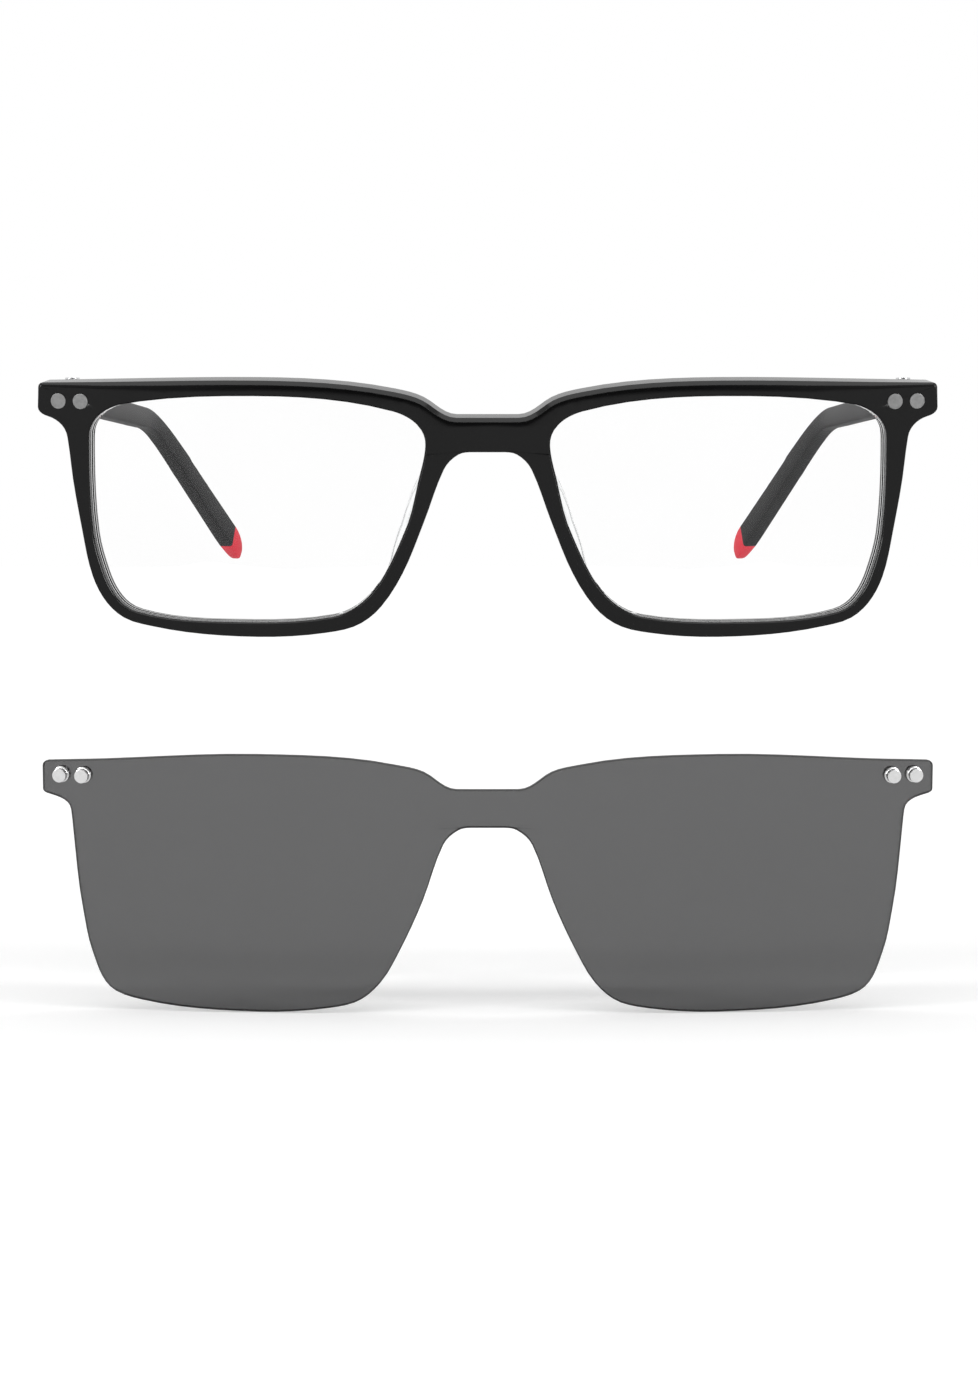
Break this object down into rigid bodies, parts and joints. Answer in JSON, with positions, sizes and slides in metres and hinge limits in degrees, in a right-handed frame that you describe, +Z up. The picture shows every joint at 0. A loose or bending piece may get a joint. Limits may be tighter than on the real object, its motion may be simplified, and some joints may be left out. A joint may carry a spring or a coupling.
{
  "type": "clip-on eyeglasses",
  "caption": "Rectangular eyeglasses with folding temples and a one-piece magnetic tinted clip-on, shown taken off below its seat.",
  "frame": {"origin": "middle of the bridge's lower back edge, where the front rests on the nose", "axes": "+Y back along the temples, +Z up, +X to the wearer's left"},
  "size_m": [0.1398, 0.1446, 0.0996],
  "materials": {
    "acetate_black": "polished",
    "lens_clear": "clear",
    "pad_clear": "clear",
    "magnet_grey": "dull nickel plate",
    "hinge_steel": "satin",
    "screw_steel": "polished",
    "temple_charcoal": "matte",
    "tip_red": "satin",
    "wire_steel": "drawn",
    "tint_grey": "dark tint",
    "clip_magnet_bright": "bright nickel plate"
  },
  "bodies": {
    "frame": {"front": "acetate_black", "lens_left": "lens_clear", "lens_right": "lens_clear", "nose_pad_left": "pad_clear", "nose_pad_right": "pad_clear", "frame_magnet_left_outer": "magnet_grey", "frame_magnet_left_inner": "magnet_grey", "frame_magnet_right_outer": "magnet_grey", "frame_magnet_right_inner": "magnet_grey", "front_hinge_left": "hinge_steel", "front_hinge_right": "hinge_steel", "hinge_screw_left": "screw_steel", "hinge_screw_right": "screw_steel"},
    "temple_left": {"temple_left": "temple_charcoal", "temple_tip_left": "tip_red", "core_wire_left": "wire_steel", "temple_hinge_left": "hinge_steel"},
    "temple_right": {"temple_right": "temple_charcoal", "temple_tip_right": "tip_red", "core_wire_right": "wire_steel", "temple_hinge_right": "hinge_steel"},
    "clip_on": {"clip_lens": "tint_grey", "clip_magnet_left_outer": "clip_magnet_bright", "clip_magnet_left_inner": "clip_magnet_bright", "clip_magnet_right_outer": "clip_magnet_bright", "clip_magnet_right_inner": "clip_magnet_bright"}
  },
  "joints": [
    {"name": "fold_left", "type": "hinge", "parent": "frame", "child": "temple_left", "pos_m": [0.06505, 0.00793, 0.0085], "axis": [0, 0, 1], "range_deg": [0, 81]},
    {"name": "fold_right", "type": "hinge", "parent": "frame", "child": "temple_right", "pos_m": [-0.06505, 0.00793, 0.0085], "axis": [0, 0, -1], "range_deg": [0, 67]},
    {"name": "lift_off", "type": "slide", "parent": "frame", "child": "clip_on", "axis": [0, -0.1219, 0.9925], "range_m": [0, 0.0584]}
  ]
}
